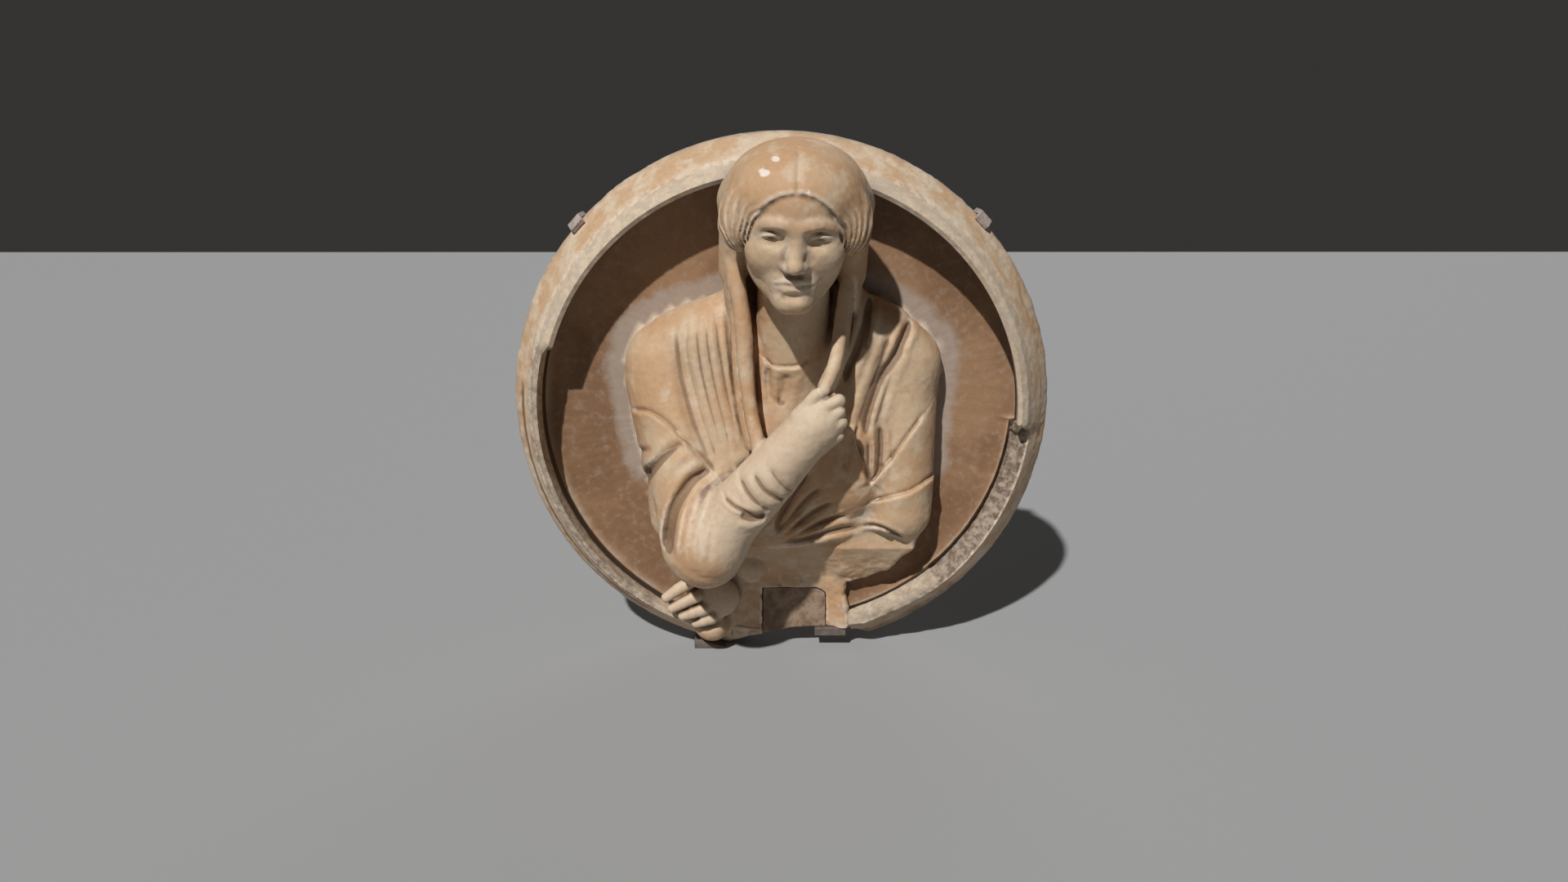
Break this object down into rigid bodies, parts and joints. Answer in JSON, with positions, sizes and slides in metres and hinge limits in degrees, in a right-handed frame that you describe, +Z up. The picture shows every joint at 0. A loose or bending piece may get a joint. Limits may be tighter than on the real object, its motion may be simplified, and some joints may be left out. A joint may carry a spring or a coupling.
{
  "type": "relief roundel",
  "caption": "Round marble wall relief with a raised rim and a veiled woman's bust in high relief, worn and broken along its lower edge.",
  "frame": {"origin": "centre of the round slab's back face, on the wall plane", "axes": "+Z up; -Y out of the wall, the way the bust faces; +X to the right as seen from the front"},
  "size_m": [0.9, 0.3184, 0.8929],
  "materials": {
    "marble": "weathered marble with a warm brown patina",
    "insert_stone": "tooled brown stone",
    "fitting": "matt grey-mauve paint"
  },
  "bodies": {
    "root": {"marble_roundel": "marble", "repair_insert": "insert_stone", "upper_left_clip": "fitting", "upper_right_clip": "fitting", "lower_left_support": "fitting", "lower_right_support": "fitting"}
  },
  "joints": []
}
